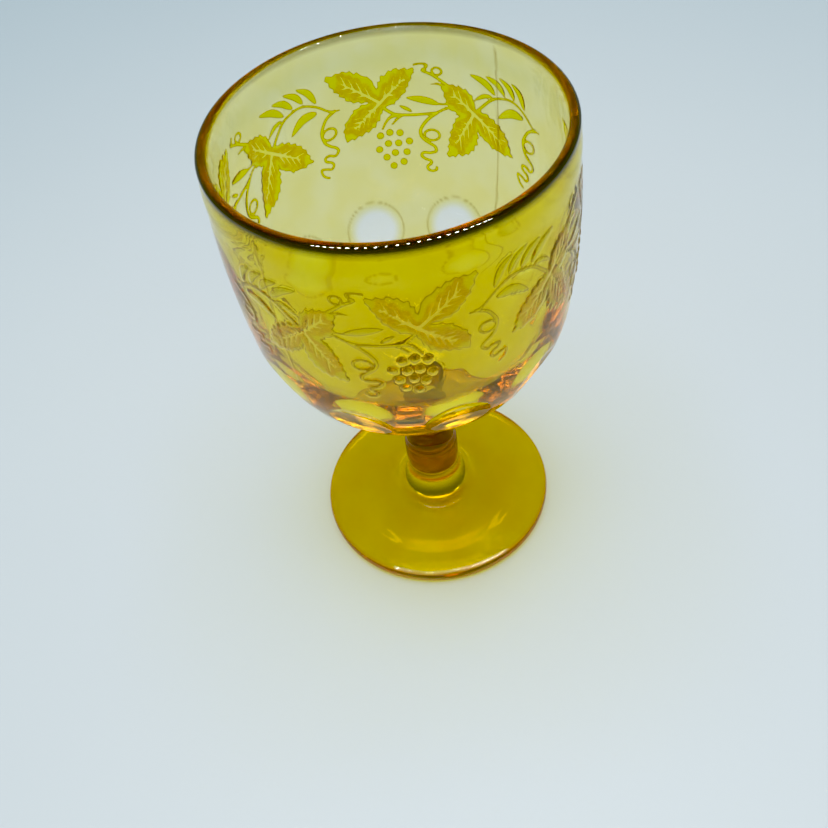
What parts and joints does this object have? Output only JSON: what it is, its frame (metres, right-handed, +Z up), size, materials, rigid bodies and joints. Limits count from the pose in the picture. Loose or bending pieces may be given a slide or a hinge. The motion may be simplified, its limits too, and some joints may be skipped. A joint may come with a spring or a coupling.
{
  "type": "stemmed wine glass",
  "caption": "Stemmed drinking glass with a deep round bowl ringed by round cuts under a vine band, a short stepped stem and a broad shallow-domed round foot.",
  "frame": {"origin": "on the glass's axis, at the level of the flat ring that the foot stands on", "axes": "+Z up along the axis towards the lip; -Y is the front, and the round cuts start 11 degrees from the front towards +X"},
  "size_m": [0.0904, 0.0904, 0.1444],
  "materials": {
    "amber_bowl_glass": "clear glass with a yellow-amber stain on the outside, vine band in deeper yellow, round cuts left clear, fire-polished lip",
    "amber_stem_glass": "glossy amber-stained glass, dark through its thickness",
    "amber_foot_glass": "glossy amber-stained glass"
  },
  "bodies": {
    "root": {"bowl": "amber_bowl_glass", "stem": "amber_stem_glass", "foot": "amber_foot_glass"}
  },
  "joints": []
}
